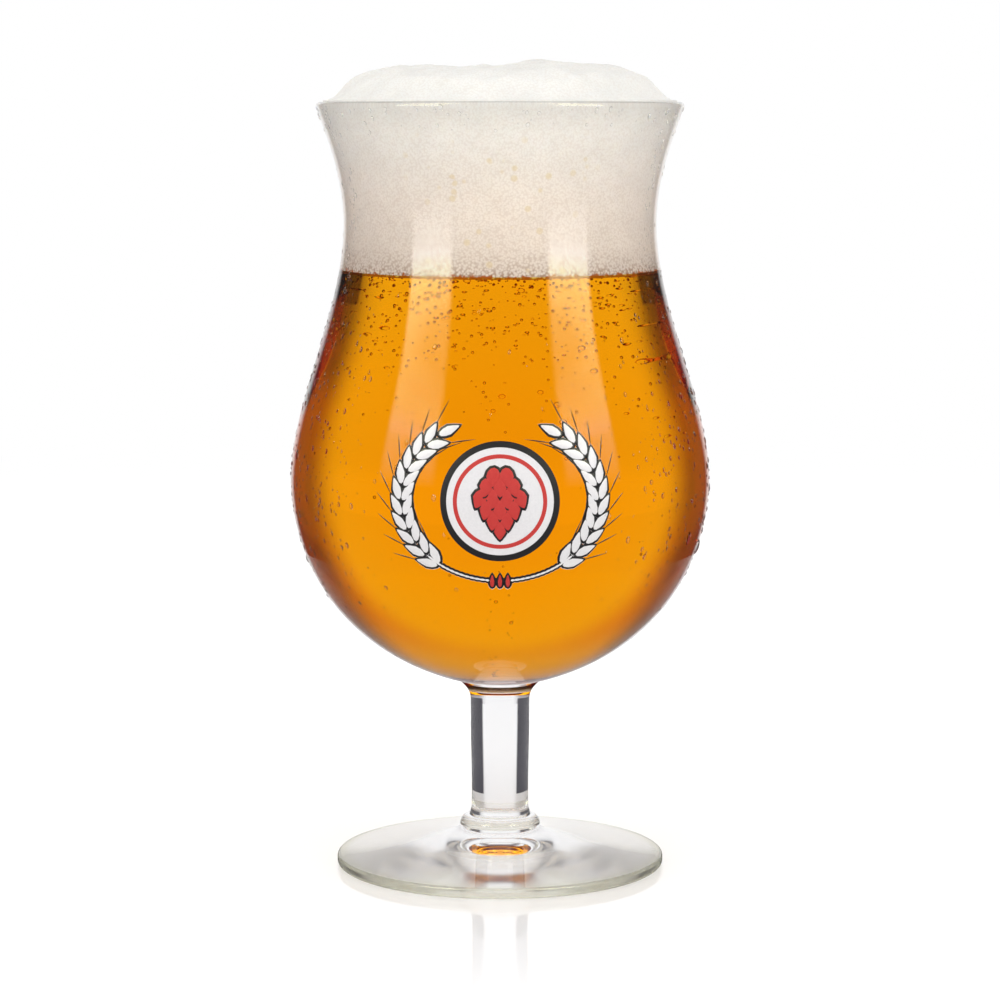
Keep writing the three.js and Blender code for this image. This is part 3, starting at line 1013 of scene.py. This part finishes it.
studio = {
    "fill": 0.4, "fillMore": 0.8, "sideGloss": 0.04, "back": (0.87, 0.945), "through": 0.96,
    "floorSize": 40.0, "floorDrop": 0.2, "floorColour": (0.9, 0.9, 0.9), "floorRough": 0.03,
    "floorLift": 0.36, "floorThrough": 0.12, "floorGloss": (0.05, 1.0),
    "fade": (0.25, 0.8), "mirror": (0.34, 0.0), "mirrorReach": (0.06, 0.16),
    "lampTurn": 122.0, "lampAway": 0.9, "lampHeight": 0.35, "lampAim": 0.1, "lampWide": 0.4, "lampHigh": 1.0,
    "lampPower": 3.3, "rightMore": 1.05, "topSize": 0.8, "topHeight": 1.0, "topPower": 2.5,
}


def seenOnlyBy(piece, ray):
    for word in ("camera", "diffuse", "shadow", "glossy", "transmission"):
        setattr(piece, "visible_" + word, word == ray)


world = bpy.data.worlds.new("studio")
scene.world = world
world.use_nodes = True
tree = world.node_tree
tree.nodes.clear()
path = addNode(tree, "ShaderNodeLightPath", {}).outputs
around = addNode(tree, "ShaderNodeTexCoord", {}).outputs["Generated"]
heading = vectorNode(tree, "NORMALIZE", vectorNode(tree, "MULTIPLY", around, (1, 1, 0)))
straight = addNode(tree, "ShaderNodeSeparateXYZ", {0: heading}).outputs["Y"]
behind = ramp(tree, straight, *studio["back"], studio["sideGloss"], 1.0)
depth = addNode(tree, "ShaderNodeSeparateXYZ", {0: around}).outputs["Y"]
deeper = times(tree, times(tree, depth, depth), studio["fillMore"])
strength = mathNode(tree, "ADD", deeper, studio["fill"])
strength = mixValue(tree, path["Is Glossy Ray"], strength, behind)
strength = mixValue(tree, path["Is Transmission Ray"], strength, studio["through"])
strength = mixValue(tree, path["Is Camera Ray"], strength, 1.0)
surround = addNode(tree, "ShaderNodeBackground", {"Color": (1, 1, 1), "Strength": strength})
addNode(tree, "ShaderNodeOutputWorld", {"Surface": surround})

floorMaterial, tree, output = newMaterial("floorWhite")
place, x, y, z = ownParts(tree)
away = vectorNode(tree, "LENGTH", place, result="Value")
path = addNode(tree, "ShaderNodeLightPath", {}).outputs
lifted = mathNode(
    tree, "ADD", times(tree, path["Is Camera Ray"], studio["floorLift"]),
    times(tree, path["Is Transmission Ray"], studio["floorThrough"]))
matt = addNode(tree, "ShaderNodeBsdfDiffuse", {"Color": studio["floorColour"]})
lift = addNode(tree, "ShaderNodeEmission", {"Strength": lifted})
near = addNode(tree, "ShaderNodeAddShader", {0: matt, 1: lift})
mirror = addNode(tree, "ShaderNodeBsdfGlossy", {"Roughness": studio["floorRough"]})
sheen = ramp(tree, away, *studio["mirrorReach"], *studio["mirror"])
shiny = addNode(tree, "ShaderNodeMixShader", {0: sheen, 1: near, 2: mirror})
white = addNode(tree, "ShaderNodeEmission", {})
far = ramp(tree, away, *studio["fade"])
faded = addNode(tree, "ShaderNodeMixShader", {0: far, 1: shiny, 2: white})
straight = mathNode(tree, "DIVIDE", y, away)
backward = ramp(tree, straight, *studio["back"], *studio["floorGloss"])
dim = addNode(tree, "ShaderNodeEmission", {"Strength": backward})
glossy = mathNode(tree, "SUBTRACT", path["Is Glossy Ray"], path["Is Transmission Ray"])
floorSeen = addNode(tree, "ShaderNodeMixShader", {0: glossy, 1: faded, 2: dim})
surface(tree, output, floorSeen)
half = studio["floorSize"] / 2
drop = -studio["floorDrop"] * mm
corners = [(-half, -half, drop), (half, -half, drop), (half, half, drop), (-half, half, drop)]
floor = newPiece("floor", plainMesh("floor", corners, [(0, 1, 2, 3)]), floorMaterial)

# cards stand on both sides; angles count from straight behind the glass, levels are height and brightness
cardSteps = 12
cards = (
    {
        "name": "flag_high", "seenBy": "transmission", "away": 0.2, "low": 0.0, "high": 0.34,
        "start": (16.0, 33.0), "end": (124.0, 125.0), "tint": (1.0, 0.95, 1.0),
        "levels": (
            (0.0, 0.42), (70.0, 0.42), (95.0, 0.35), (103.0, 0.2), (122.0, 0.2), (127.0, 0.35),
            (340.0, 0.35)),
    },
    {
        "name": "flag_low", "seenBy": "transmission", "away": 0.064, "low": 0.0005, "high": 0.033,
        "start": (21.0, 24.5), "end": (91.0, 96.0), "tint": (1.0, 0.96, 1.12),
        "levels": ((0.0, 0.08), (33.0, 0.08)),
    },
    {
        "name": "strip", "seenBy": "glossy", "away": 0.2, "low": 0.085, "high": 0.45,
        "start": (117.0, 121.0), "end": (145.0, 150.0), "tint": (1.0, 1.0, 0.58),
        "tintAbove": 166.0, "power": 11.5,
        "levels": (
            (0.0, 0.0), (86.0, 0.0), (104.0, 0.12), (125.0, 0.26), (144.0, 0.4), (152.0, 0.75), (168.0, 1.05),
            (174.0, 1.1), (178.0, 0.86), (184.0, 0.88), (190.0, 0.5), (450.0, 0.5)),
    },
)
for card in cards:
    cardMaterial, tree, output = newMaterial(card["name"])
    place, x, y, z = ownParts(tree)
    turn = mathNode(tree, "DEGREES", mathNode(tree, "ARCTAN2", mathNode(tree, "ABSOLUTE", x), y))
    stops = []
    for height, level in card["levels"]:
        tint = card["tint"] if height >= card.get("tintAbove", 0) else (1, 1, 1)
        stops.append((height, [level * part for part in tint]))
    first, last = card["start"][0], card["end"][1]
    begins = ramp(tree, turn, *card["start"])
    cover = times(tree, begins, ramp(tree, turn, *card["end"], 1, 0))
    bare = addNode(tree, "ShaderNodeBsdfTransparent", {})
    cloth = addNode(tree, "ShaderNodeEmission", {
        "Color": byHeight(tree, z, stops), "Strength": card.get("power", 1.0)})
    hung = addNode(tree, "ShaderNodeMixShader", {0: cover, 1: bare, 2: cloth})
    surface(tree, output, hung)
    for side, word in ((-1, "left"), (1, "right")):
        corners = []
        for i in range(cardSteps + 1):
            angle = math.radians(first + (last - first) * i / cardSteps)
            x = side * card["away"] * math.sin(angle)
            y = card["away"] * math.cos(angle)
            corners += [(x, y, card["low"]), (x, y, card["high"])]
        faces = [(2 * i, 2 * i + 2, 2 * i + 3, 2 * i + 1) for i in range(cardSteps)]
        standing = newPiece(card["name"] + "_" + word, plainMesh(card["name"], corners, faces), cardMaterial)
        seenOnlyBy(standing, card["seenBy"])

# shades the low bowl's mirror image of the foot; seen from above alone
shadeDisc = {"inner": 9.5, "outer": 95.0, "height": 11.0, "level": 0.03, "sides": 48}
discMaterial, tree, output = newMaterial("shade_disc")
dark = addNode(tree, "ShaderNodeEmission", {"Strength": shadeDisc["level"]})
clear = addNode(tree, "ShaderNodeBsdfTransparent", {})
geometry = addNode(tree, "ShaderNodeNewGeometry", {})
oneSided = addNode(tree, "ShaderNodeMixShader", {0: geometry.outputs["Backfacing"], 1: dark, 2: clear})
surface(tree, output, oneSided)
discProfile = [at(shadeDisc[word], shadeDisc["height"]) for word in ("inner", "outer")]
discMesh = turnedMesh("shade_disc", discProfile, shadeDisc["sides"])
if discMesh.polygons[0].normal.z < 0:
    discMesh.flip_normals()
disc = newPiece("shade_disc", discMesh, discMaterial)
seenOnlyBy(disc, "glossy")

turn = math.radians(studio["lampTurn"])
for side, word, power in ((-1, "lamp_left", 1.0), (1, "lamp_right", studio["rightMore"])):
    lampData = bpy.data.lights.new("lamp", "AREA")
    lampData.shape = "RECTANGLE"
    lampData.size = studio["lampWide"]
    lampData.size_y = studio["lampHigh"]
    lampData.energy = studio["lampPower"] * power
    lamp = bpy.data.objects.new(word, lampData)
    out = Vector((side * math.sin(turn), math.cos(turn), 0)) * studio["lampAway"]
    lamp.location = out + Vector((0, 0, studio["lampHeight"]))
    aim = Vector((0, 0, studio["lampAim"])) - lamp.location
    lamp.rotation_euler = aim.to_track_quat("-Z", "Y").to_euler()
    lamp.visible_glossy = False
    lamp.visible_transmission = False
    scene.collection.objects.link(lamp)
topData = bpy.data.lights.new("top", "AREA")
topData.size = studio["topSize"]
topData.energy = studio["topPower"]
top = bpy.data.objects.new("top", topData)
top.location = (0, 0, studio["topHeight"])
scene.collection.objects.link(top)
print("stage: studio")
